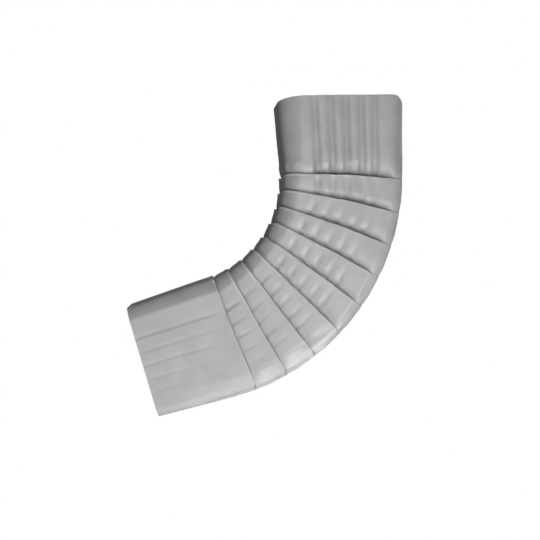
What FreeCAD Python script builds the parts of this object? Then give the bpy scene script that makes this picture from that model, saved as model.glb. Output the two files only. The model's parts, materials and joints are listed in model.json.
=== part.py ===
import FreeCAD, Part
import Sketcher
import os

# Downspout elbow: a rectangular tube of thin sheet, turned through its angle by nine tucked pleats.
# The inlet mouth is level at Z = 0 and centred on the origin, the bend lies in the XZ plane, and the
# water leaves towards -X. The heel is the long outer side of the bend, the throat the short inner one.

DOC = FreeCAD.newDocument("downspout_elbow")
SHEET = DOC.addObject("Spreadsheet::Sheet", "Sizes")

# Driving sizes in millimetres and degrees
SIZES = {
    "inlet_width": 86.0,        # mouth that takes the pipe above, across the bend
    "inlet_depth": 63.0,        # the same mouth along Y
    "inlet_flare": 0.5,         # how far the mouth stands out past the heel
    "inlet_corner": 16.0,       # rounding of the mouth's two corners on the throat side
    "inlet_leg": 52.2,          # mouth to the start of the bend
    "outlet_width": 77.6,       # drawn-in end that enters the pipe below, across the bend
    "outlet_depth": 57.0,       # the same end along Y
    "outlet_draw": 2.0,         # how far that end stands in from the heel
    "outlet_leg": 56.4,         # end of the bend to the outlet
    "bend_width": 82.5,         # tube across the pleat lips
    "bend_depth": 60.0,         # the same along Y
    "corner_radius": 8.5,       # rounding of the long corners elsewhere, outside
    "throat_radius": 75.0,      # bend centre to the throat
    "bend_angle": 75.0,
    "pleat_count": 9.0,
    "first_crease": 1.7,        # turn from the start of the bend to the first pleat
    "last_crease": 70.0,        # turn to the last pleat
    "pleat_depth": 6.0,         # overlap of each pleat at the throat
    "pleat_gap": 0.4,           # open mouth of the fold under each lip, at the throat
    "side_step": 1.4,           # what is left of the pleat on the wide faces, where they meet the heel
    "heel_step": 0.4,           # what is left of the pleat on the heel itself
    "hinge_offset": 6.0,        # the pleats swing about a line this far outside the heel
    "sheet_gauge": 0.6,         # thickness of the sheet
    "flute_count": 5.0,         # pressed grooves on each wide face of a leg
    "flute_pitch": 9.9,
    "flute_width": 6.4,
    "flute_depth": 0.8,
    "flute_shift": -1.0,        # middle of the flutes from mid-width, negative towards the heel
    "flute_fade": 7.0,          # run from the end of the bend to full flutes on the outlet leg
    "seam_width": 7.0,          # lock seam along the heel
    "seam_height": 0.9,
}
for row, (alias, size) in enumerate(SIZES.items(), 1):
    SHEET.set(f"A{row}", alias)
    SHEET.set(f"B{row}", str(size))
    SHEET.setAlias(f"B{row}", alias)
DOC.recompute()

BODY = DOC.addObject("PartDesign::Body", "elbow")
BODY.Label = "elbow"
LEVEL = next(item for item in BODY.Origin.OriginFeatures if item.Role == "XY_Plane")
PLEATS = int(SHEET.pleat_count)
FLUTES = int(SHEET.flute_count)

# Sizes that follow from the driving ones
TURN = "((Sizes.last_crease - Sizes.first_crease) / (Sizes.pleat_count - 1))"
PIVOT = "(Sizes.throat_radius + Sizes.bend_width + Sizes.hinge_offset)"
PITCH = f"(Sizes.throat_radius * {TURN} * pi / 180)"
LIP = "(2 * Sizes.sheet_gauge)"
MOUTH = f"({LIP} + Sizes.pleat_gap)"
TUCK = f"({MOUTH} * (1 + Sizes.pleat_depth / {PITCH}))"
SWING = "-atan(Sizes.pleat_depth / (Sizes.bend_width + Sizes.hinge_offset))"
REACH = "(Sizes.pleat_depth + Sizes.sheet_gauge)"
BEYOND = f"({TUCK} * {REACH} / ({PITCH} + Sizes.pleat_depth))"


def number(expression):
    """Present value of an expression on the sheet."""
    result = BODY.evalExpression(expression)
    return float(getattr(result, "Value", result))


def tube(heel, throat, halves, corners, seam):
    """Four-sided section, x from the hinge line to the throat; half depths and corners at heel and throat."""
    return {"heel": heel, "throat": throat, "halves": halves, "corners": corners, "seam": seam}


def bend_tube(heel_inset, side_inset, throat_inset):
    """Section of the bend, drawn in from the lip line at the heel, at the sides there, and at the throat."""
    corner = f"Sizes.corner_radius - {side_inset}"
    return tube(f"Sizes.hinge_offset + {heel_inset}",
                f"Sizes.hinge_offset + Sizes.bend_width - {throat_inset}",
                (f"Sizes.bend_depth / 2 - {side_inset}", f"Sizes.bend_depth / 2 - {throat_inset}"),
                (corner, corner),
                f"Sizes.seam_width / 2 - {heel_inset}")


def end_tube(width, depth, offset, throat_corner, inset):
    """Section at an open end: full width and depth, the heel moved in by an offset, then drawn in."""
    half = f"{depth} / 2 - {inset}"
    return tube(f"Sizes.hinge_offset + {offset} + {inset}",
                f"Sizes.hinge_offset + {offset} + {width} - {inset}",
                (half, half), (f"Sizes.corner_radius - {inset}", f"{throat_corner} - {inset}"),
                "Sizes.seam_width / 2")


def half_outline(section, pressed, seam):
    """Corners of one half of a section, heel to throat, as (x, y, bulge, radius of the edge that follows)."""
    heel, throat = section["heel"], section["throat"]
    top, low = section["halves"]
    first, last = section["corners"]
    start, stop = f"({heel} + {first})", f"({throat} - ({last}))"
    bow = "(Sizes.flute_width ^ 2 / (8 * Sizes.flute_depth) + Sizes.flute_depth / 2)"
    points = []
    if seam:
        points.append((f"{heel} - Sizes.seam_height", section["seam"], 0, None))
        points.append((heel, section["seam"], 0, None))
    points.append((heel, f"{top} - ({first})", 1, first))
    points.append((start, top, 0, None))
    for index in range(FLUTES):
        middle = ("Sizes.hinge_offset + Sizes.bend_width / 2 + Sizes.flute_shift"
                  f" + {index - (FLUTES - 1) / 2} * Sizes.flute_pitch")
        for side in (-1, 1):
            x = f"({middle} + {side} * Sizes.flute_width / 2)"
            y = f"{top} + ({low} - ({top})) * ({x} - {start}) / ({stop} - {start})"
            groove = pressed and side < 0
            points.append((x, y, -1 if groove else 0, bow if groove else None))
    points.append((stop, low, 1, last))
    points.append((throat, f"{low} - ({last})", 0, None))
    return points


def edge(start, stop, bulge, radius):
    """Straight edge, or an arc that bulges out of the section (1) or into it (-1)."""
    if not bulge:
        return Part.LineSegment(start, stop)
    chord = stop - start
    rise = radius - (radius ** 2 - chord.Length ** 2 / 4) ** 0.5
    outward = FreeCAD.Vector(-chord.y, chord.x, 0).normalize()
    middle = (start + stop) / 2 + outward * rise * bulge
    return Part.ArcOfCircle(stop, middle, start) if bulge > 0 else Part.ArcOfCircle(start, middle, stop)


def ring(name, crease, swing, slide, section, pressed=False, seam=False):
    """Sketch of one section, on a plane turned about the hinge line of a crease and slid along its normal."""
    angle = f"({crease} * 1 deg + {swing})"
    sketch = BODY.newObject("Sketcher::SketchObject", name)
    sketch.AttachmentSupport = (LEVEL, [""])
    sketch.MapMode = "FlatFace"
    half_turn = FreeCAD.Rotation(FreeCAD.Vector(0, 1, 0), 180)
    sketch.AttachmentOffset = FreeCAD.Placement(FreeCAD.Vector(), half_turn)
    heel_line = "Sizes.inlet_width / 2 - Sizes.inlet_flare + Sizes.hinge_offset"
    sketch.setExpression("AttachmentOffset.Rotation.Angle", f"180 deg + {angle}")
    sketch.setExpression("AttachmentOffset.Base.x",
                         f"{heel_line} - {PIVOT} * (1 - cos({crease} * 1 deg)) - ({slide}) * sin({angle})")
    sketch.setExpression("AttachmentOffset.Base.z",
                         f"-Sizes.inlet_leg - {PIVOT} * sin({crease} * 1 deg) - ({slide}) * cos({angle})")

    half = half_outline(section, pressed, seam)
    near = [FreeCAD.Vector(number(x), number(y), 0) for x, y, bulge, radius in half]
    far = [FreeCAD.Vector(point.x, -point.y, 0) for point in reversed(near)]
    corners = near + far
    count = len(half)
    bulges = [(bulge, number(radius) if radius else 0) for x, y, bulge, radius in half]
    bulges = bulges + [bulges[count - 2 - step] for step in range(count - 1)] + [(0, 0)]
    edges = [edge(corners[i], corners[(i + 1) % len(corners)], *bulges[i]) for i in range(len(corners))]
    sketch.addGeometry(edges, False)

    # Ends of every edge in the order of travel: the outline runs clockwise, arcs are kept anticlockwise
    ends = [(2, 1) if bulge > 0 else (1, 2) for bulge, radius in bulges]
    constraints = []
    bindings = []
    for i in range(len(edges)):
        following = (i + 1) % len(edges)
        constraints.append(Sketcher.Constraint("Coincident", i, ends[i][1], following, ends[following][0]))
    for i, (x, y, bulge, radius) in enumerate(half):
        mirrored = 2 * count - 1 - i
        bindings.append((len(constraints), x))
        constraints.append(Sketcher.Constraint("DistanceX", -1, 1, i, ends[i][0], near[i].x))
        bindings.append((len(constraints), y))
        constraints.append(Sketcher.Constraint("DistanceY", -1, 1, i, ends[i][0], near[i].y))
        constraints.append(Sketcher.Constraint("Symmetric", i, ends[i][0], mirrored, ends[mirrored][0], -1))
        if bulge:
            bindings.append((len(constraints), radius))
            constraints.append(Sketcher.Constraint("Radius", i, number(radius)))
            constraints.append(Sketcher.Constraint("Equal", i, mirrored - 1))
    sketch.addConstraint(constraints)
    for index, expression in bindings:
        sketch.setExpression(f"Constraints[{index}]", expression)
    return sketch


def loft(kind, name, rings):
    """Straight-sided loft through the rings, added to the body or cut from it."""
    DOC.recompute()
    feature = BODY.newObject(f"PartDesign::{kind}", name)
    feature.Profile = rings[0]
    feature.Sections = rings[1:]
    feature.Ruled = True
    DOC.recompute()
    return feature


def crease_angle(index):
    """Turn from the start of the bend to a crease."""
    return f"(Sizes.first_crease + {index} * {TURN})"


# Outside of the sheet: at each crease the sheet tucks in, folds back and turns over a standing lip
LIP_LINE = bend_tube("0", "0", "0")
LIP_FOOT = bend_tube("Sizes.heel_step / 2", "Sizes.side_step / 2", LIP)
TUCK_LINE = bend_tube("Sizes.heel_step", "Sizes.side_step", TUCK)
NECK = bend_tube("Sizes.heel_step / 2", f"{MOUTH} / 2", f"{MOUTH} / 2")
MOUTH_SIZE = ("Sizes.inlet_width", "Sizes.inlet_depth", "-Sizes.inlet_flare", "Sizes.inlet_corner")
OUTLET_SIZE = ("Sizes.outlet_width", "Sizes.outlet_depth", "Sizes.outlet_draw", "Sizes.corner_radius")
INLET = end_tube(*MOUTH_SIZE, "0")
OUTLET = end_tube(*OUTLET_SIZE, "0")

outside = [
    ring("inlet_mouth_outside", "0", "0 deg", "-Sizes.inlet_leg", INLET, True, True),
    ring("inlet_neck_outside", "0", "0 deg", "0", NECK, True, True),
]
for index in range(PLEATS):
    angle = crease_angle(index)
    outside.append(ring(f"tuck_{index + 1}_outside", angle, SWING, "0", TUCK_LINE, False, True))
    outside.append(ring(f"lip_foot_{index + 1}", angle, "0 deg", "0", LIP_FOOT, False, True))
    outside.append(ring(f"lip_{index + 1}", angle, "0 deg", "0", LIP_LINE, False, True))
END = "Sizes.bend_angle"
outside.append(ring("outlet_neck_outside", END, "0 deg", "Sizes.flute_fade", LIP_LINE, True, True))
outside.append(ring("outlet_end_outside", END, "0 deg", "Sizes.outlet_leg", OUTLET, True, True))
loft("AdditiveLoft", "sheet_outside", outside)

# Inside of the sheet: one gauge in from the outside, with a plain step where a pleat is pressed together
GAUGE = "Sizes.sheet_gauge"
HEEL_INSIDE = f"(Sizes.heel_step / 2 + {GAUGE})"
SIDE_INSIDE = f"({MOUTH} / 2 + {GAUGE})"
NECK_INSIDE = bend_tube(HEEL_INSIDE, SIDE_INSIDE, SIDE_INSIDE)
TUCK_INSIDE = bend_tube(f"(Sizes.heel_step + {GAUGE})", f"(Sizes.side_step + {GAUGE})", f"({TUCK} + {GAUGE})")
STEP_INSIDE = bend_tube(HEEL_INSIDE, HEEL_INSIDE, f"({BEYOND} + {GAUGE})")
LEG_INSIDE = bend_tube(GAUGE, GAUGE, GAUGE)
INLET_INSIDE = end_tube(*MOUTH_SIZE, GAUGE)
OUTLET_INSIDE = end_tube(*OUTLET_SIZE, GAUGE)

inside = [
    ring("inlet_mouth_inside", "0", "0 deg", "-Sizes.inlet_leg", INLET_INSIDE, True),
    ring("inlet_neck_inside", "0", "0 deg", "0", NECK_INSIDE, True),
]
for index in range(PLEATS):
    angle = crease_angle(index)
    inside.append(ring(f"tuck_{index + 1}_inside", angle, SWING, GAUGE, TUCK_INSIDE))
    inside.append(ring(f"step_{index + 1}_inside", angle, SWING, GAUGE, STEP_INSIDE))
inside.append(ring("outlet_neck_inside", END, "0 deg", "Sizes.flute_fade", LEG_INSIDE, True))
inside.append(ring("outlet_end_inside", END, "0 deg", "Sizes.outlet_leg", OUTLET_INSIDE, True))
loft("SubtractiveLoft", "sheet_inside", inside)

for item in DOC.Objects:
    if "Invalid" in item.State or "Error" in item.State:
        raise RuntimeError(f"{item.Name} did not build")
if BODY.Shape.isNull() or not BODY.Shape.isValid() or len(BODY.Shape.Solids) != 1:
    raise RuntimeError("the elbow is not one valid solid")
os.makedirs("parts", exist_ok=True)
BODY.Shape.exportStep(f"parts/{BODY.Label}.step")
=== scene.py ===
import json
import math
from typing import NamedTuple

import bmesh
import bpy
from mathutils import Matrix, Vector, noise


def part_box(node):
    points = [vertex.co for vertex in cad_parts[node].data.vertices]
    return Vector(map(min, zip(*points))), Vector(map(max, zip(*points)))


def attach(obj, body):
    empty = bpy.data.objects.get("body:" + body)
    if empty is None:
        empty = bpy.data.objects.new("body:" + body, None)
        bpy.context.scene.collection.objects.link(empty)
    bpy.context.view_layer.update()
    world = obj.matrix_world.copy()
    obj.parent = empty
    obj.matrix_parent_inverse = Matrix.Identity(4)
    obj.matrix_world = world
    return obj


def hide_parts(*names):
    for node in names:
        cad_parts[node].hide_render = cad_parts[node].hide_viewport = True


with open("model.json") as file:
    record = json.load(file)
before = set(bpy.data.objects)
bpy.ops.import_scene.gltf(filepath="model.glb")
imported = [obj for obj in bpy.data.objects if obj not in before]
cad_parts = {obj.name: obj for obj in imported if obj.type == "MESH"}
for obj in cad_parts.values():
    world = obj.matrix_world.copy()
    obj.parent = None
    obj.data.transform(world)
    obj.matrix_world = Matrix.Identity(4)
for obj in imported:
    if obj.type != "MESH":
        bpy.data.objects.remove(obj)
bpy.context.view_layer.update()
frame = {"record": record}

bl_info = {
    "name": "Downspout elbow",
    "version": (1, 0, 0),
    "blender": (4, 5, 0),
    "location": "View3D > Sidebar > Elbow",
    "description": "Folds the sheet of a pleated downspout elbow and lights it in a plain studio",
    "category": "Object",
}

# The frame gives what the two open ends fix: the mouth's size, the way out and the angle between them
MM = 0.001
LOW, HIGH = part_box("elbow")
MOUNTS = {mount["name"]: mount for mount in frame["record"]["mounts"]}
OUTLET = Vector(MOUNTS["outlet"]["pos_m"])
WAY_OUT = Vector(MOUNTS["outlet"]["axis"])
BEND_ANGLE = math.atan2(-WAY_OUT.x, -WAY_OUT.z)
SEAM_HEIGHT = 0.9 * MM
INLET_WIDTH = 2 * (HIGH.x - SEAM_HEIGHT)
INLET_DEPTH = 2 * HIGH.y

# Shares that each section of the sheet carries along
SHARES = ("pressed", "wavy", "worn", "grimy", "sunk", "drawn")

# Section of the tube: the shape of its corners and how finely it is divided
HEEL_PROFILE = 0.42
THROAT_PROFILE = 0.36
CORNER_CUTS = 10
WIDE_CUTS = 55
NARROW_CUTS = 12
LONG_EDGE = 20 * MM
WELD = 0.01 * MM
SMOOTH_ANGLE = math.radians(60)

# Stations as shares of each run, and the shares at which the legs run straight and the flutes are back
ROLL_SHARES = (0.35, 0.6, 0.8, 0.93)
LIP_ANGLES = (180, 135, 90, 45, 0)
PANEL_SHARES = (0.05, 0.2, 0.6, 1.0)
INLET_SHARES = (0.03, 0.07, 0.12, 0.17, 0.22, 0.27, 0.4, 0.55, 0.7, 0.85, 0.95, 1.0)
OUTLET_SHARES = (0.01, 0.03, 0.08, 0.15, 0.3, 0.45, 0.6, 0.75, 0.9, 1.0)
INLET_STRAIGHT = 0.25
OUTLET_STRAIGHT = 0.08
FLUTES_BACK = 0.15

# Radius of a lip against the gauge of the sheet, and the height that the free end of the sheet lies under
NOSE_ROOM = 1.08
MOUTH_CLEAR = -5 * MM

# Flutes thin and fade round the bend, gather before a lip, rest calm behind it and wander a little
FLUTE_THINNING = 0.68
FLUTE_FADING = 0.58
FLUTE_LEFT = (0.34, 0.46, 0.8, 0.74, 1.26)
FLUTE_UNEVEN = 0.5
UNEVEN_LENGTH = 9 * MM
FLUTE_GATHER = 0.8
GATHER_FADING = 0.3
LEG_GATHER = 0.45
FLUTE_CALM = 0.75
CALM_POWER = 6
CALM_IN = (0.002, 0.025)
DRIFT_IN = (0.03, 0.25)
DRIFT_OUT = (0.85, 1.0)
WAVE_LENGTH = 16 * MM
FLAT_RUN = (0.38, 0.46)

# Pleats: how they run out at the heel, sink in before a lip and lean, and how the first one differs
HEEL_KEEP = 0.1
HEEL_RUN = (4 * MM, 16 * MM)
THROAT_RUN = (45 * MM, 72 * MM)
THROAT_EASE = 0.7
THROAT_END = (10 * MM, 32 * MM)
SINK_FADING = 0.9
LEAN_RUN = (3 * MM, 42 * MM)
LEAN_SIDE = (5 * MM, 27 * MM)
LEAN_FADING = 1.5
FIRST_PRESS = 0.3
FIRST_LEAN = 0.75
FIRST_RUN = (0.003, 0.04)

# Painted shade before and under the lips and in the flutes, standing in for the lips' shadow and the shade in
# the grooves
SHADE_CREEP = 0.7
SHADE_FADING = 0.92
FIRST_SHADE = 0.35
FLUTE_SHADE = 0.16

# Wide faces give way to the heel, and throat corners go from round to flat
EASE_IN = (0.6, 0.88)
EASE_RUN = (6 * MM, 15 * MM)
PILLOW = 0.7
LEG_EASE_RUN = 11 * MM
MOUTH_RUN = (0.0, 0.3)
FACET_IN = (0.15, 0.8)
FACET_LOSS = 0.25
FACET_EDGE = 0.4 * MM

# Cut rim of the mouth: what trimming takes off, and how fast its dip ends
RIM_BURR = 0.05 * MM
RIM_FALL = 2

# Coating: its mottling, its orange peel and its gloss, and the sockets of a colour mix
BLOTCH = 15 * MM
BLOTCH_DETAIL = 4.0
BLOTCH_ROUGHNESS = 0.6
BLOTCH_SPREAD = (0.3, 0.7)
PEEL = 1.6 * MM
PEEL_DETAIL = 2.0
PEEL_HEIGHT = 0.045 * MM
PEEL_STRENGTH = 0.5
GLOSS = (0.28, 0.42)
COAT_IOR = 1.5
MIX_FACTOR, MIX_A, MIX_B, MIX_RESULT = 0, 6, 7, 2

# Studio: the paper floor and wall, the lamps from the point that the camera looks at, and the camera body
FLOOR_DROP = 0.6
COVE_RADIUS = 2.5
COVE_HEIGHT = 6.0
COVE_SWEEP = 0.6
COVE_SIDES = 64
SWEEP_CUTS = 12
LAMP_SIZE = 0.3
LAMP_PLACES = {
    "key": (0.289, -0.795, -0.308),
    "front": (0.0, -0.9, 0.0),
    "left": (-0.289, -0.795, -0.308),
    "low": (-0.474, -0.565, -0.516),
    "right": (0.501, -0.289, -0.689),
    "under": (0.245, -0.291, -0.816),
    "high": (-0.638, -0.369, 0.516),
    "top": (0.0, -0.016, 0.9),
    "back": (0.3, 0.85, 0.1),
}
SENSOR = 36.0
NEAR = 0.01


def linear(code):
    """Scene colour of an sRGB hex value."""
    shades = [int(code[i:i + 2], 16) / 255 for i in (1, 3, 5)]
    return [s / 12.92 if s <= 0.04045 else ((s + 0.055) / 1.055) ** 2.4 for s in shades]


def length(name, description, default):
    """Size property in metres."""
    return bpy.props.FloatProperty(name=name, description=description, default=default, unit="LENGTH",
                                   precision=4)


def angle(name, description, degrees):
    """Angle property, given in degrees."""
    return bpy.props.FloatProperty(name=name, description=description, default=math.radians(degrees),
                                   subtype="ANGLE")


def shade(name, description, code):
    """Colour property, given as an sRGB hex value."""
    return bpy.props.FloatVectorProperty(name=name, description=description, default=linear(code),
                                         subtype="COLOR", min=0.0, max=1.0)


def power(name, description, watts):
    """Strength of a lamp in watts."""
    return bpy.props.FloatProperty(name=name, description=description, default=watts, min=0.0, unit="POWER")


class ElbowSheetSizes(bpy.types.PropertyGroup):
    """Sizes of the folded sheet and colours of its coating."""
    bend_width: length("Bend width", "Tube across the pleat lips, heel to throat", 82.5 * MM)
    bend_depth: length("Bend depth", "Tube along Y across the pleat lips", 60.0 * MM)
    corner_radius: length("Corner radius", "Rounding of the four long corners", 8.5 * MM)
    throat_radius: length("Throat radius", "Centre of the bend to the throat", 75.0 * MM)
    inlet_leg: length("Inlet leg", "Mouth to the start of the bend", 52.2 * MM)
    bend_corner: length("Bend corner", "Rounding of the throat corners at the start of the bend", 12.0 * MM)
    inlet_corner: length("Inlet corner", "Rounding of the mouth's two corners on the throat side", 16.0 * MM)
    rim_heel_radius: length("Rim at the heel", "Rounding of the cut rim towards the heel", 7.0 * MM)
    rim_throat_dip: length("Rim at the throat", "How far the cut rim falls towards the throat", 2.5 * MM)
    rim_run: length("Rim run", "Run below the rim that its rounding draws on", 20.0 * MM)
    inlet_flare: length("Inlet flare", "How far the mouth stands out past the heel", 0.5 * MM)
    outlet_width: length("Outlet width", "Drawn-in end across the bend", 77.6 * MM)
    outlet_depth: length("Outlet depth", "Drawn-in end along Y", 57.0 * MM)
    outlet_draw: length("Outlet draw", "How far the outlet stands in from the heel", 2.0 * MM)
    pleat_count: bpy.props.IntProperty(name="Pleats", description="Tucked folds round the bend", default=9)
    first_crease: angle("First crease", "Turn from the start of the bend to the first pleat", 1.7)
    last_crease: angle("Last crease", "Turn to the last pleat", 70.0)
    pleat_depth: length("Pleat depth", "Overlap of each pleat at the throat", 6.0 * MM)
    pleat_gap: length("Pleat gap", "Open mouth of the fold under each lip", 0.4 * MM)
    pleat_roll: length("Pleat roll", "Run over which the sheet rolls in under a lip", 8.0 * MM)
    hinge_offset: length("Hinge offset", "Hinge line of the pleats outside the heel", 6.0 * MM)
    pleat_runout: length("Pleat run-out", "Run from the heel over which a pleat gains its step", 14.0 * MM)
    pleat_sink: length("Pleat sink", "How far the sheet sinks in before a lip", 1.6 * MM)
    heel_ease: length("Heel ease", "How far the wide faces give way to the heel low in the bend", 3.7 * MM)
    leg_ease: length("Leg ease", "How far the wide faces of the upper leg give way to the heel", 2.4 * MM)
    first_roll: length("First roll", "Run over which the upper leg rolls in before the first lip", 18.0 * MM)
    throat_draw: length("Throat draw", "How far the throat side comes in before the first lip", 0.5 * MM)
    first_sink: length("First sink", "How much deeper the sheet sinks in before the first lip", 2.2 * MM)
    pleat_lean: length("Pleat lean", "How far a lip leans up the flow near the throat", 2.2 * MM)
    heel_lag: length("Heel lag", "How far the lips trail down the flow near the heel", 0.6 * MM)
    heel_share: bpy.props.FloatProperty(
        name="Heel share", description="Share of a pleat's step left on the heel", default=0.17,
        subtype="FACTOR")
    sheet_gauge: length("Sheet gauge", "Thickness of the sheet", 0.6 * MM)
    flute_width: length("Flute width", "Pressed groove on the inlet leg", 8.0 * MM)
    flute_depth: length("Flute depth", "Depth of that groove", 1.15 * MM)
    flute_centres: bpy.props.FloatVectorProperty(
        name="Flute centres", description="Grooves from the heel; a roll former leaves them uneven", size=5,
        default=(20.4 * MM, 29.4 * MM, 39.7 * MM, 49.7 * MM, 60.3 * MM), unit="LENGTH")
    flute_drift: length("Flute drift", "How far the grooves wander to the throat in the bend", 4.3 * MM)
    seam_width: length("Seam width", "Lock seam along the heel", 7.0 * MM)
    undulation: length("Undulation", "How far thin sheet waves in from flat", 0.4 * MM)
    coating: shade("Coating", "Baked grey coating", "#ABACAA")
    coating_dull: shade("Dull coating", "Coating where it is mottled", "#9E9F9D")
    # Lighter coating on the lips: partly rubbed wear, partly a painted highlight along each lip's edge
    coating_wear_and_highlight: shade("Worn coating", "Coating rubbed bright on the lips", "#BFC0BE")
    # Painted shade: this colour darkens the sheet where the lips cast shadow and in the creases and flutes
    painted_shade_colour: shade("Grime", "Dust held under the lips", "#6C6C68")


class ElbowStageSettings(bpy.types.PropertyGroup):
    """Camera, lamps and the plain pale studio."""
    distance: length("Distance", "Camera to the middle of the elbow", 0.6263)
    aim: bpy.props.FloatVectorProperty(name="Aim", description="Point that the camera looks at",
                                       default=(-0.0492, 0.0, -0.1190), subtype="XYZ", unit="LENGTH")
    azimuth: angle("Azimuth", "Camera round the elbow from straight in front", -4.62)
    elevation: angle("Elevation", "Camera above the level of its aim", 2.2)
    roll: angle("Roll", "Lean of the camera", -1.14)
    lens: bpy.props.FloatProperty(name="Lens", description="Focal length", default=58.52, unit="CAMERA")
    key_power: power("Key", "Soft lamp right of the camera and below it", 3.48)
    front_power: power("Front", "Soft lamp beside the camera", 1.21)
    left_power: power("Left", "Soft lamp left of the camera and below it", 1.06)
    low_power: power("Low", "Soft lamp low on the left", 1.54)
    right_power: power("Right", "Soft lamp low on the right", 3.20)
    under_power: power("Under", "Soft lamp below on the right", 1.49)
    high_power: power("High", "Soft lamp high on the left", 0.70)
    top_power: power("Top", "Soft lamp overhead", 2.33)
    back_power: power("Back", "Soft lamp behind the elbow", 3.0)
    ambient: bpy.props.FloatProperty(name="Ambient", description="Light from the room itself", default=0.02)
    paper: shade("Paper", "White paper of floor and wall", "#FFFFFF")


class Place(NamedTuple):
    """Place of one section: turned along the bend, slid along the flow, swung on its hinge and drawn in."""
    turn: float = 0.0
    slide: float = 0.0
    swing: float = 0.0
    heel: float = 0.0
    throat: float = 0.0
    side: float = 0.0


class Station(NamedTuple):
    """Section of the sheet with its share of flutes, waviness, lighter coating (rubbed wear and painted
    highlight), painted shade and sinking by a lip.
    """
    place: Place
    pressed: float = 0.0
    wavy: float = 0.0
    worn: float = 0.0
    grimy: float = 0.0
    sunk: float = 0.0


class SheetPlan:
    """Lines of the elbow that its sizes fix."""

    def __init__(self, sizes):
        self.sizes = sizes
        self.heel = INLET_WIDTH / 2 - sizes.inlet_flare
        self.level = -sizes.inlet_leg
        self.centre = Vector((self.heel - sizes.bend_width - sizes.throat_radius, 0, self.level))
        self.pleat_turn = (sizes.last_crease - sizes.first_crease) / (sizes.pleat_count - 1)
        self.reach = sizes.bend_width + sizes.hinge_offset
        self.outlet_leg = (OUTLET - self.centre).dot(WAY_OUT)

    def flow(self, turn):
        """Way of the flow at a turn of the bend."""
        return Vector((-math.sin(turn), 0, -math.cos(turn)))

    def hinge(self, turn):
        """Point outside the heel that a pleat swings about."""
        arm = self.sizes.throat_radius + self.reach
        return self.centre + arm * Vector((math.cos(turn), 0, -math.sin(turn)))

    def turned(self, point):
        """Turn of the bend at a point."""
        arm = point - self.centre
        return math.atan2(-arm.z, arm.x)

    def folded(self, turn, along, inset, slid=False):
        """Section at a crease, a distance past it at the throat and drawn in."""
        drawn = dict(heel=inset * self.sizes.heel_share, throat=inset, side=inset)
        if slid:
            return Place(turn, along, 0.0, **drawn)
        return Place(turn, 0.0, -along / self.reach, **drawn)


def pick(data, test):
    """Picks in edit mode the vertices that pass a test, and nothing else."""
    bpy.ops.mesh.select_all(action="DESELECT")
    sheet = bmesh.from_edit_mesh(data)
    for vert in sheet.verts:
        vert.select_set(test(vert))
    sheet.select_flush(True)
    bmesh.update_edit_mesh(data)


def shift(offset):
    """Moves what is picked."""
    if offset.length > 0:
        bpy.ops.transform.translate(value=offset)


def swivel(turn, centre):
    """Turns what is picked in the plane of the bend; with no window the operator turns the other way."""
    if turn:
        bpy.ops.transform.rotate(value=-turn, orient_axis="Y", center_override=centre)


def mark(data, station):
    """Writes a station's shares on the picked section, which belongs to no pleat until it is numbered."""
    sheet = bmesh.from_edit_mesh(data)
    layers = sheet.verts.layers.float
    order = sheet.verts.layers.int["order"]
    for vert in sheet.verts:
        if vert.select:
            vert[order] = 0
            for share in SHARES[:-1]:
                vert[layers[share]] = getattr(station, share)
            vert[layers["drawn"]] = station.place.side
    bmesh.update_edit_mesh(data)


def carry(data, plan, old, new):
    """Extrudes the picked free edge and carries it from one station to the next."""
    sizes = plan.sizes
    start, stop = old.place, new.place
    bpy.ops.mesh.extrude_region()
    swivel(-start.swing, plan.hinge(start.turn))
    shift(-start.slide * plan.flow(start.turn))
    swivel(-start.turn, plan.centre)
    wider = (sizes.bend_width - stop.heel - stop.throat) / (sizes.bend_width - start.heel - start.throat)
    deeper = (sizes.bend_depth / 2 - stop.side) / (sizes.bend_depth / 2 - start.side)
    bpy.ops.transform.resize(value=(wider, deeper, 1),
                             center_override=(plan.heel - start.heel, 0, plan.level))
    shift(Vector((start.heel - stop.heel, 0, 0)))
    swivel(stop.turn, plan.centre)
    shift(stop.slide * plan.flow(stop.turn))
    swivel(stop.swing, plan.hinge(stop.turn))
    mark(data, new)


def fold_stations(plan, turn):
    """One pleat in the order of flow: the sheet rolls in, tucks under, comes back and turns over its lip."""
    sizes = plan.sizes
    nose = sizes.sheet_gauge * NOSE_ROOM
    tip = sizes.pleat_gap / 4
    mouth = 2 * nose + sizes.pleat_gap
    tuck = mouth + sizes.pleat_depth * mouth / (sizes.throat_radius * plan.pleat_turn)
    stations = []
    # Painted shade: the roll before the lip, the nose and the tuck are darkened where the lip shades the
    # sheet and the crease closes
    for share in ROLL_SHARES:
        place = plan.folded(turn, (share - 1) * sizes.pleat_roll, mouth * share ** 2, slid=True)
        close = share ** 4
        stations.append(Station(place, pressed=1 + LEG_GATHER + (FLUTE_GATHER - LEG_GATHER) * close,
                                wavy=1 - share, grimy=SHADE_CREEP * share ** 2, sunk=close))
    stations.append(Station(plan.folded(turn, nose, mouth), pressed=FLUTE_GATHER, grimy=SHADE_CREEP,
                            sunk=1.0))
    for past, inset in ((-tip, tuck), (0, tuck - tip), (-tip, tuck - 2 * tip)):
        stations.append(Station(plan.folded(turn, sizes.pleat_depth + past, inset), grimy=1.0))
    # The lip's turn gets lighter coating, partly rubbed wear and partly a painted highlight
    for lean in LIP_ANGLES:
        along = nose * (1 - math.sin(math.radians(lean)))
        upright = math.cos(math.radians(lean))
        stations.append(Station(plan.folded(turn, along, nose * (1 - upright)), worn=0.5 + 0.5 * upright,
                                grimy=0.5 if lean == LIP_ANGLES[0] else 0.0))
    return stations


def panel_stations(plan, turn):
    """Smooth run from a lip to the start of the next roll."""
    sizes = plan.sizes
    stations = []
    for share in PANEL_SHARES:
        place = Place(turn + share * plan.pleat_turn, -share * sizes.pleat_roll)
        stations.append(Station(place, pressed=share * (1 + LEG_GATHER), wavy=share))
    return stations


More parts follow.
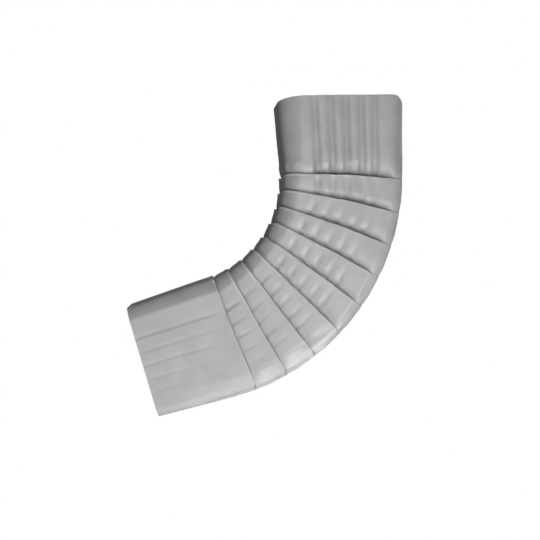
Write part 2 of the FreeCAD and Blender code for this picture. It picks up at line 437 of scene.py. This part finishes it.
def inlet_stations(plan):
    """Upper leg from the first roll up to the mouth, which flares to take the pipe above."""
    sizes = plan.sizes
    widen = INLET_WIDTH - sizes.bend_width
    stations = []
    start = sizes.first_crease
    for share in INLET_SHARES:
        turn = start * max(0.0, 1 - share / INLET_STRAIGHT)
        slide = -sizes.pleat_roll - share * (sizes.inlet_leg - sizes.pleat_roll)
        place = Place(turn, slide, 0.0, -share * sizes.inlet_flare, share * (sizes.inlet_flare - widen),
                      share * (sizes.bend_depth - INLET_DEPTH) / 2)
        stations.append(Station(place, pressed=1.0 + LEG_GATHER * (1 - share), wavy=1.0 - share))
    return stations


def outlet_stations(plan):
    """Lower leg from the last lip down to the drawn-in end."""
    sizes = plan.sizes
    narrow = sizes.bend_width - sizes.outlet_width - sizes.outlet_draw
    start = sizes.last_crease
    stations = []
    for share in OUTLET_SHARES:
        turn = start + (BEND_ANGLE - start) * min(1.0, share / OUTLET_STRAIGHT)
        place = Place(turn, share * plan.outlet_leg, 0.0, share * sizes.outlet_draw, share * narrow,
                      share ** 2 * (sizes.bend_depth - sizes.outlet_depth) / 2)
        stations.append(Station(place, pressed=min(1.0, share / FLUTES_BACK), wavy=1.0 - share ** 4))
    return stations


def lay_section(plan):
    """Rounded outline of the tube with its lock seam, as a loose ring of edges at the start of the bend."""
    sizes = plan.sizes
    middle = plan.heel - sizes.bend_width / 2
    corner = sizes.corner_radius / 2
    bpy.ops.object.select_all(action="DESELECT")
    bpy.ops.mesh.primitive_plane_add(size=1.0, location=(middle, 0, plan.level))
    sheet = bpy.context.object
    sheet.name = "folded_sheet"
    sheet.data.name = "folded_sheet"
    bpy.ops.object.transform_apply(location=True, rotation=True, scale=True)
    bpy.ops.object.mode_set(mode="EDIT")
    bpy.ops.mesh.select_mode(type="VERT")
    bpy.ops.mesh.select_all(action="SELECT")
    bpy.ops.transform.resize(value=(sizes.bend_width, sizes.bend_depth, 1),
                             center_override=(middle, 0, plan.level))
    for at_heel, profile in ((True, HEEL_PROFILE), (False, THROAT_PROFILE)):
        pick(sheet.data, lambda vert: (vert.co.x > middle) == at_heel)
        bpy.ops.mesh.bevel(affect="VERTICES", offset=sizes.corner_radius, segments=CORNER_CUTS,
                           profile=profile, offset_type="OFFSET")
    bpy.ops.mesh.select_all(action="SELECT")
    bpy.ops.mesh.delete(type="ONLY_FACE")
    divide_side(sheet.data, lambda vert: vert.co.y < corner - sizes.bend_depth / 2, WIDE_CUTS)
    divide_side(sheet.data, lambda vert: vert.co.y > sizes.bend_depth / 2 - corner, WIDE_CUTS)
    divide_side(sheet.data, lambda vert: vert.co.x < middle - sizes.bend_width / 2 + corner, NARROW_CUTS)
    divide_side(sheet.data, lambda vert: vert.co.x > middle + sizes.bend_width / 2 - corner, NARROW_CUTS)
    raise_seam(sheet.data, plan)
    name_columns(sheet.data, plan)
    return sheet


def divide_side(data, on_side, cuts):
    """Divides the one long straight edge of a side of the section."""
    pick(data, lambda vert: on_side(vert) and any(edge.calc_length() > LONG_EDGE for edge in vert.link_edges))
    bpy.ops.mesh.subdivide(number_cuts=cuts)


def raise_seam(data, plan):
    """Lifts the middle of the heel into the folded lock seam, with steep sides."""
    half = plan.sizes.seam_width / 2
    foot = half + SEAM_HEIGHT / 4
    at_heel = plan.heel - SEAM_HEIGHT / 4
    sheet = bmesh.from_edit_mesh(data)
    heel = sorted((vert for vert in sheet.verts if vert.co.x > at_heel and abs(vert.co.y) < 2 * half),
                  key=lambda vert: vert.co.y)
    for vert, y in zip(heel, (-foot, -half, half, foot)):
        vert.co.y = y
    bmesh.update_edit_mesh(data)
    pick(data, lambda vert: vert.co.x > at_heel and abs(vert.co.y) < (half + foot) / 2)
    shift(Vector((SEAM_HEIGHT * plan.sizes.bend_width / INLET_WIDTH, 0, 0)))


def name_columns(data, plan):
    """Gives every point of the section its distance from the heel, which extruding hands on."""
    sheet = bmesh.from_edit_mesh(data)
    sheet.verts.layers.float.new("across")
    for share in SHARES:
        sheet.verts.layers.float.new(share)
    sheet.verts.layers.int.new("order")
    across = sheet.verts.layers.float["across"]
    for vert in sheet.verts:
        vert[across] = plan.heel - vert.co.x
    bmesh.update_edit_mesh(data)


def ramp(value, start, stop):
    """Smooth rise from 0 at start to 1 at stop."""
    share = min(1.0, max(0.0, (value - start) / (stop - start)))
    return share * share * (3 - 2 * share)


def past_first(bent, share):
    """The share that the first pleat takes part in something, rising to 1 for the pleats after it."""
    return share + (1 - share) * ramp(bent, *FIRST_RUN)


def dress_sheet(data, plan):
    """Adds by hand what the tools leave out: sunk faces, pleats that run out, rounder corners and flutes."""
    sheet = bmesh.from_edit_mesh(data)
    order = sheet.verts.layers.int["order"]
    layers = sheet.verts.layers.float
    for vert in sheet.verts:
        across = vert[layers["across"]]
        bent = ramp(plan.turned(vert.co), 0, BEND_ANGLE)
        sink_sheet(vert, across, bent, layers, plan)
        if vert[order] > 0:
            ease_pleat(vert, across, vert[layers["drawn"]], plan)
            lean_pleat(vert, across, bent, plan)
            narrow_facet(vert, bent, vert[layers["drawn"]], plan)
            round_throat(vert, bent, vert[layers["drawn"]], plan)
        elif vert.co.z > plan.level:
            round_mouth(vert, plan)
            trim_mouth(vert, plan)
        press_flutes(vert, across, bent, layers, plan)
    bmesh.update_edit_mesh(data)


def on_wide_face(vert, sizes):
    """1 on the wide faces and 0 on heel and throat, with a smooth change near the corners."""
    return ramp(abs(vert.co.y), FLAT_RUN[0] * sizes.bend_depth, FLAT_RUN[1] * sizes.bend_depth)


def sink_sheet(vert, across, bent, layers, plan):
    """Sinks the wide faces before each lip and along the heel; the painted shade before a lip is kept only
    where they sink.
    """
    sizes = plan.sizes
    sunk = vert[layers["sunk"]]
    held = ramp(across, *HEEL_RUN) * (1 - THROAT_EASE * ramp(across, *THROAT_RUN))
    before = (plan.centre - vert.co).dot(plan.flow(sizes.first_crease))
    sink = sunk * held * sizes.pleat_sink * (1 - SINK_FADING * bent) * past_first(bent, FIRST_PRESS)
    sink += sink_first(across, before, sunk, sizes)
    sink += give_way(vert, across, bent, before, plan)
    # Painted shade before a lip, kept where the sheet is held and sinks, less further down the bend
    vert[layers["grimy"]] *= held * (1 - SHADE_FADING * bent) * past_first(bent, FIRST_SHADE)
    if before > 0:
        near = 1 - min(1.0, before / sizes.inlet_leg)
        vert.co.x += sizes.throat_draw * near * (across / sizes.bend_width) ** 3
    vert.co.y -= math.copysign(sink * on_wide_face(vert, sizes), vert.co.y)


def sink_first(across, before, sunk, sizes):
    """How much deeper the sheet sinks before the first lip, where the straight leg gives way."""
    mouth = sizes.pleat_gap + 2 * sizes.sheet_gauge
    if before <= 0 and (sunk < 1 or before <= -mouth):
        return 0.0
    near = 1 - min(1.0, max(0.0, before / sizes.first_roll))
    middle = ramp(across, *HEEL_RUN) * ramp(sizes.bend_width - across, *THROAT_END)
    return sizes.first_sink * near ** 2 * middle


def give_way(vert, across, bent, before, plan):
    """How far a wide face gives way to the heel: like pillows low in the bend, evenly on the upper leg."""
    sizes = plan.sizes
    past = max(0.0, (vert.co - OUTLET).dot(WAY_OUT) + plan.outlet_leg) / plan.outlet_leg
    eased = (1 - ramp(across, *EASE_RUN)) * ramp(bent, *EASE_IN) * (1 - past)
    # The pillow past the last lip runs on down the lower leg
    panel = min((plan.turned(vert.co) - sizes.first_crease) / plan.pleat_turn, sizes.pleat_count - 0.5)
    pillow = PILLOW + (1 - PILLOW) * math.sin(math.pi * panel) ** 2
    on_leg = max(0.0, 1 - across / LEG_EASE_RUN) * ramp(before, 0, sizes.first_roll)
    return sizes.heel_ease * eased * pillow + sizes.leg_ease * on_leg


def ease_pleat(vert, across, drawn, plan):
    """Lets a pleat run out towards the heel: the sides come back to the outline there."""
    sizes = plan.sizes
    kept = HEEL_KEEP + (1 - HEEL_KEEP) * ramp(across, 0, sizes.pleat_runout)
    half = sizes.bend_depth / 2
    vert.co.y *= 1 + (half / (half - drawn) - 1) * (1 - kept)


def lean_pleat(vert, across, bent, plan):
    """Leans a pleat up the flow on the wide faces, most near the throat and at the start of the bend."""
    sizes = plan.sizes
    inwards = ramp(across, *LEAN_RUN)
    lean = sizes.pleat_lean * inwards * (1 - LEAN_FADING * bent) * past_first(bent, FIRST_LEAN)
    lean -= sizes.heel_lag * (1 - inwards)
    vert.co -= lean * ramp(abs(vert.co.y), *LEAN_SIDE) * plan.flow(plan.turned(vert.co))


def narrow_facet(vert, bent, drawn, plan):
    """Narrows the throat facets just past each lip; they widen again towards the next one."""
    sizes = plan.sizes
    turned = plan.turned(vert.co)
    arm = vert.co - plan.centre
    arm.y = 0
    inwards = arm.length - sizes.throat_radius - drawn
    sideways = sizes.bend_depth / 2 - drawn - abs(vert.co.y)
    if max(inwards, sideways) < sizes.corner_radius + FACET_EDGE and turned < sizes.last_crease:
        panel = (turned - sizes.first_crease) / plan.pleat_turn % 1
        lost = FACET_LOSS * (1 - panel) * ramp(bent, *FACET_IN)
        vert.co -= arm.normalized() * inwards * lost
        vert.co.y += math.copysign(sideways * lost, vert.co.y)


def round_throat(vert, bent, drawn, plan):
    """Rounds the throat corners at the start of the bend; further down they stay flat facets."""
    sizes = plan.sizes
    radius = sizes.bend_corner + (sizes.corner_radius - sizes.bend_corner) * ramp(bent, *FACET_IN)
    arm = vert.co - plan.centre
    arm.y = 0
    throat = sizes.throat_radius + drawn + radius
    side = sizes.bend_depth / 2 - drawn - radius
    away = Vector((throat - arm.length, abs(vert.co.y) - side))
    if away.x > 0 and away.y > 0 and away.length > radius:
        away.length = radius
        vert.co += arm.normalized() * (throat - away.x - arm.length)
        vert.co.y = math.copysign(side + away.y, vert.co.y)


def round_mouth(vert, plan):
    """Rounds the throat corners of the upper leg, soon more than those of the bend."""
    sizes = plan.sizes
    share = 1 - vert.co.z / plan.level
    radius = sizes.bend_corner + (sizes.inlet_corner - sizes.bend_corner) * ramp(share, *MOUTH_RUN)
    throat = plan.heel - sizes.bend_width + (sizes.bend_width - INLET_WIDTH / 2 - plan.heel) * share
    half = sizes.bend_depth / 2 + (INLET_DEPTH - sizes.bend_depth) / 2 * share
    away = Vector((throat + radius - vert.co.x, abs(vert.co.y) + radius - half))
    if away.x > 0 and away.y > 0 and away.length > radius:
        away.length = radius
        vert.co.x = throat + radius - away.x
        vert.co.y = math.copysign(half - radius + away.y, vert.co.y)


def trim_mouth(vert, plan):
    """Trims the rim of the mouth round at the heel and lets it fall a little towards the throat."""
    sizes = plan.sizes
    fall = ramp(vert.co.z, -sizes.rim_run, 0)
    radius = sizes.rim_heel_radius
    from_heel = max(0.0, INLET_WIDTH / 2 - vert.co.x)
    from_throat = max(0.0, vert.co.x + INLET_WIDTH / 2)
    dip = RIM_BURR + sizes.rim_throat_dip * math.exp(-RIM_FALL * from_throat / sizes.inlet_corner)
    if from_heel < radius:
        dip += radius - math.sqrt(radius ** 2 - (radius - from_heel) ** 2)
    vert.co.z -= fall * dip


def press_flutes(vert, across, bent, layers, plan):
    """Presses flutes and slight waves into the wide faces, always inwards; painted shade darkens the flutes.
    """
    sizes = plan.sizes
    half = sizes.flute_width / 2 * (1 - FLUTE_THINNING * bent ** 2)
    depth = sizes.flute_depth * (1 - FLUTE_FADING * bent)
    drift = sizes.flute_drift * ramp(bent, *DRIFT_IN) * (1 - ramp(bent, *DRIFT_OUT))
    centres = zip(sizes.flute_centres, FLUTE_LEFT)
    gap, left = min((abs(across - middle - drift), left) for middle, left in centres)
    depth *= 1 + (left - 1) * ramp(bent, *DRIFT_OUT)
    groove = math.cos(math.pi / 2 * gap / half) ** 2 if gap < half else 0.0
    groove *= 1 + FLUTE_UNEVEN * noise.noise(vert.co / UNEVEN_LENGTH)
    pressed = vert[layers["pressed"]]
    gathered = min(1.0, pressed / (1 + FLUTE_GATHER)) ** CALM_POWER
    if pressed > 1:
        pressed = 1 + (pressed - 1) * (1 - GATHER_FADING * bent)
    calm = ramp(bent, *CALM_IN) * (1 - ramp(bent, *DRIFT_OUT))
    pressed *= 1 - FLUTE_CALM * calm * (1 - gathered)
    wave = 0.5 + 0.5 * noise.noise(vert.co / WAVE_LENGTH)
    on_face = on_wide_face(vert, sizes)
    inwards = on_face * (pressed * depth * groove + vert[layers["wavy"]] * sizes.undulation * wave)
    vert.co.y -= math.copysign(inwards, vert.co.y)
    # Painted shade in the flutes' grooves, fading round the bend
    groove_shade = FLUTE_SHADE * on_face * min(1.0, pressed) * groove * (1 - bent)
    vert[layers["grimy"]] = max(vert[layers["grimy"]], groove_shade)


def free_edge(data):
    """Picks the open end of the sheet that faces down the flow."""
    pick(data, lambda vert: vert.is_boundary and vert.co.z < MOUTH_CLEAR)


def follow(data, plan, station, stations):
    """Carries the picked edge from a station through a row of others."""
    for following in stations:
        carry(data, plan, station, following)
        station = following


def number_pleat(data, count):
    """Numbers the picked section within its pleat."""
    sheet = bmesh.from_edit_mesh(data)
    order = sheet.verts.layers.int["order"]
    for vert in sheet.verts:
        if vert.select:
            vert[order] = count
    bmesh.update_edit_mesh(data)


def fold_pleats(data, plan, begin):
    """Models one pleat at the first crease, copies it round the bend and leaves the last lip free."""
    sizes = plan.sizes
    fold = fold_stations(plan, sizes.first_crease)
    free_edge(data)
    number_pleat(data, 1)
    station = begin
    for count, following in enumerate(fold + panel_stations(plan, sizes.first_crease), 2):
        carry(data, plan, station, following)
        number_pleat(data, count)
        station = following
    order = bmesh.from_edit_mesh(data).verts.layers.int["order"]
    pick(data, lambda vert: vert[order] > 0)
    copies = sizes.pleat_count - 1
    bpy.ops.mesh.spin(steps=copies, dupli=True, angle=copies * plan.pleat_turn, center=plan.centre,
                      axis=(0, -1, 0))
    bpy.ops.mesh.select_all(action="SELECT")
    bpy.ops.mesh.remove_doubles(threshold=WELD)
    lip = len(fold) + 1
    order = bmesh.from_edit_mesh(data).verts.layers.int["order"]
    pick(data, lambda vert: vert[order] > lip and plan.turned(vert.co) > sizes.last_crease)
    bpy.ops.mesh.delete(type="VERT")
    free_edge(data)
    return fold_stations(plan, sizes.last_crease)[-1]


def thicken(sheet, gauge):
    """Gives the folded sheet its thickness, inwards, and smooth faces between crisp cut ends."""
    wall = sheet.modifiers.new("gauge", "SOLIDIFY")
    wall.thickness = gauge
    wall.offset = -1
    wall.use_even_offset = False
    bpy.ops.object.modifier_apply(modifier=wall.name)
    bpy.ops.object.shade_smooth_by_angle(angle=SMOOTH_ANGLE)


def add_node(tree, kind, settings, links):
    """Adds a node with its settings, fed by other nodes' outputs; a socket is named or numbered."""
    node = tree.nodes.new(kind)
    for key, value in settings.items():
        if isinstance(key, int) or key in node.inputs:
            node.inputs[key].default_value = value
        else:
            setattr(node, key, value)
    for socket, (source, output) in links.items():
        tree.links.new(source.outputs[output], node.inputs[socket])
    return node


def opaque(colour):
    """Colour as a socket takes it, with nothing showing through."""
    return list(colour) + [1.0]


def coil_coating(sizes):
    """Polyester coating baked on the aluminium coil: satin grey, faintly mottled and softly shining.

    The folds bend it after baking, so the lips are drawn lighter, partly rubbed wear and partly a painted
    highlight, and painted shade darkens the sheet under and before them and in the flutes.
    """
    material = bpy.data.materials.new("coil_coated_aluminium")
    material.use_nodes = True
    tree = material.node_tree
    tree.nodes.clear()
    place = add_node(tree, "ShaderNodeTexCoord", {}, {})
    blotch = add_node(tree, "ShaderNodeTexNoise",
                      {"Scale": 1 / BLOTCH, "Detail": BLOTCH_DETAIL, "Roughness": BLOTCH_ROUGHNESS},
                      {"Vector": (place, "Object")})
    spread = add_node(tree, "ShaderNodeMapRange",
                      {"From Min": BLOTCH_SPREAD[0], "From Max": BLOTCH_SPREAD[1]},
                      {"Value": (blotch, "Fac")})
    mottled = add_node(tree, "ShaderNodeMix",
                       {"data_type": "RGBA", MIX_A: opaque(sizes.coating_dull), MIX_B: opaque(sizes.coating)},
                       {MIX_FACTOR: (spread, "Result")})
    # Lighter on the lips: partly rubbed wear, partly a painted highlight
    lip = add_node(tree, "ShaderNodeAttribute", {"attribute_name": "worn"}, {})
    rubbed_and_highlit = add_node(tree, "ShaderNodeMix", {"data_type": "RGBA", MIX_B: opaque(sizes.coating_wear_and_highlight)},
                      {MIX_FACTOR: (lip, "Fac"), MIX_A: (mottled, MIX_RESULT)})
    # Painted shade under and before the lips and in the flutes
    fold = add_node(tree, "ShaderNodeAttribute", {"attribute_name": "grimy"}, {})
    shaded_colour = add_node(tree, "ShaderNodeMix", {"data_type": "RGBA", MIX_B: opaque(sizes.painted_shade_colour)},
                     {MIX_FACTOR: (fold, "Fac"), MIX_A: (rubbed_and_highlit, MIX_RESULT)})
    # Orange peel of a baked coating is finer than a pixel here, so it is drawn about three times coarser
    peel = add_node(tree, "ShaderNodeTexNoise", {"Scale": 1 / PEEL, "Detail": PEEL_DETAIL},
                    {"Vector": (place, "Object")})
    bump = add_node(tree, "ShaderNodeBump", {"Strength": PEEL_STRENGTH, "Distance": PEEL_HEIGHT},
                    {"Height": (peel, "Fac")})
    gloss = add_node(tree, "ShaderNodeMapRange", {"To Min": GLOSS[0], "To Max": GLOSS[1]},
                     {"Value": (blotch, "Fac")})
    coat = add_node(tree, "ShaderNodeBsdfPrincipled", {"Metallic": 0.0, "IOR": COAT_IOR},
                    {"Base Color": (shaded_colour, MIX_RESULT), "Roughness": (gloss, "Result"),
                     "Normal": (bump, "Normal")})
    add_node(tree, "ShaderNodeOutputMaterial", {}, {"Surface": (coat, "BSDF")})
    return material


class ELBOW_OT_folded_sheet(bpy.types.Operator):
    """Fold the elbow from one sheet"""
    bl_idname = "elbow.folded_sheet"
    bl_label = "Folded sheet"

    def execute(self, context):
        plan = SheetPlan(context.scene.elbow_sheet)
        sizes = plan.sizes
        sheet = lay_section(plan)
        data = sheet.data
        begin = Station(Place(sizes.first_crease, -sizes.pleat_roll), pressed=1.0 + LEG_GATHER, wavy=1.0)
        pick(data, lambda vert: True)
        swivel(sizes.first_crease, plan.centre)
        shift(-sizes.pleat_roll * plan.flow(sizes.first_crease))
        mark(data, begin)
        follow(data, plan, begin, inlet_stations(plan))
        lip = fold_pleats(data, plan, begin)
        follow(data, plan, lip, outlet_stations(plan))
        bpy.ops.mesh.select_all(action="SELECT")
        bpy.ops.mesh.normals_make_consistent(inside=False)
        dress_sheet(data, plan)
        bpy.ops.object.mode_set(mode="OBJECT")
        thicken(sheet, sizes.sheet_gauge)
        data.materials.append(coil_coating(sizes))
        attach(sheet, "root")
        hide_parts("elbow")
        return {"FINISHED"}


class ELBOW_OT_stage(bpy.types.Operator):
    """Set the plain studio, its lamps and the camera"""
    bl_idname = "elbow.stage"
    bl_label = "Stage"

    def execute(self, context):
        settings = context.scene.elbow_stage
        aim = Vector(settings.aim)
        set_cove(settings, aim)
        set_camera(settings, aim)
        for name, place in LAMP_PLACES.items():
            hang_lamp(name + "_lamp", getattr(settings, name + "_power"), aim + Vector(place), aim)
        room = bpy.data.worlds.new("room")
        room.use_nodes = True
        background = room.node_tree.nodes["Background"]
        background.inputs["Color"].default_value = (1, 1, 1, 1)
        background.inputs["Strength"].default_value = settings.ambient
        context.scene.world = room
        context.scene.view_settings.view_transform = "Standard"
        return {"FINISHED"}


def set_cove(settings, aim):
    """White paper floor that sweeps up into a wall all round, seen by the camera and lighting nothing."""
    bpy.ops.object.select_all(action="DESELECT")
    floor = Vector((aim.x, aim.y, LOW.z - FLOOR_DROP))
    bpy.ops.mesh.primitive_circle_add(vertices=COVE_SIDES, radius=COVE_RADIUS, fill_type="NGON",
                                      location=floor)
    cove = bpy.context.object
    cove.name = "paper_cove"
    bpy.ops.object.transform_apply(location=True, rotation=True, scale=True)
    bpy.ops.object.mode_set(mode="EDIT")
    bpy.ops.mesh.select_all(action="SELECT")
    bpy.ops.mesh.extrude_edges_indiv()
    shift(Vector((0, 0, COVE_HEIGHT)))
    pick(cove.data, lambda vert: vert.co.z < floor.z + COVE_HEIGHT / 2)
    bpy.ops.mesh.bevel(offset=COVE_SWEEP, segments=SWEEP_CUTS)
    bpy.ops.object.mode_set(mode="OBJECT")
    bpy.ops.object.shade_smooth()
    paper = bpy.data.materials.new("white_paper")
    paper.use_nodes = True
    tree = paper.node_tree
    tree.nodes.clear()
    glow = add_node(tree, "ShaderNodeEmission", {"Color": opaque(settings.paper), "Strength": 1.0}, {})
    add_node(tree, "ShaderNodeOutputMaterial", {}, {"Surface": (glow, "Emission")})
    cove.data.materials.append(paper)
    cove.visible_diffuse = False
    cove.visible_glossy = False
    cove.visible_transmission = False
    cove.visible_shadow = False


def set_camera(settings, aim):
    """Camera at the photograph's angle: round, above and leaning a little."""
    round_, above, lean = settings.azimuth, settings.elevation, settings.roll
    back = Vector((math.sin(round_) * math.cos(above), -math.cos(round_) * math.cos(above), math.sin(above)))
    right = Vector((math.cos(round_), math.sin(round_), 0))
    up = back.cross(right)
    leant_right = right * math.cos(lean) + up * math.sin(lean)
    leant_up = up * math.cos(lean) - right * math.sin(lean)
    lens = bpy.data.cameras.new("camera")
    lens.lens = settings.lens
    lens.sensor_width = SENSOR
    lens.clip_start = NEAR
    camera = bpy.data.objects.new("camera", lens)
    turn = Matrix((leant_right, leant_up, back)).transposed().to_4x4()
    camera.matrix_world = Matrix.Translation(aim + back * settings.distance) @ turn
    bpy.context.scene.collection.objects.link(camera)
    bpy.context.scene.camera = camera


def hang_lamp(name, watts, place, aim):
    """Square soft lamp aimed at the elbow."""
    lamp = bpy.data.lights.new(name, "AREA")
    lamp.energy = watts
    lamp.size = LAMP_SIZE
    holder = bpy.data.objects.new(name, lamp)
    turn = (aim - place).to_track_quat("-Z", "Y").to_matrix().to_4x4()
    holder.matrix_world = Matrix.Translation(place) @ turn
    bpy.context.scene.collection.objects.link(holder)


class VIEW3D_PT_elbow(bpy.types.Panel):
    """Pieces of the elbow and its stage"""
    bl_label = "Downspout elbow"
    bl_space_type = "VIEW_3D"
    bl_region_type = "UI"
    bl_category = "Elbow"

    def draw(self, context):
        for operator in (ELBOW_OT_folded_sheet, ELBOW_OT_stage):
            self.layout.operator(operator.bl_idname)
        for group in (context.scene.elbow_sheet, context.scene.elbow_stage):
            box = self.layout.box()
            for name in group.bl_rna.properties.keys():
                if name not in ("rna_type", "name"):
                    box.prop(group, name)


CLASSES = (ElbowSheetSizes, ElbowStageSettings, ELBOW_OT_folded_sheet, ELBOW_OT_stage, VIEW3D_PT_elbow)


def register():
    for cls in CLASSES:
        bpy.utils.register_class(cls)
    bpy.types.Scene.elbow_sheet = bpy.props.PointerProperty(type=ElbowSheetSizes)
    bpy.types.Scene.elbow_stage = bpy.props.PointerProperty(type=ElbowStageSettings)


def unregister():
    del bpy.types.Scene.elbow_stage
    del bpy.types.Scene.elbow_sheet
    for cls in reversed(CLASSES):
        bpy.utils.unregister_class(cls)


def main():
    """Builds the pieces in order."""
    register()
    bpy.ops.elbow.folded_sheet()
    bpy.ops.elbow.stage()


if __name__ == "__main__":
    main()
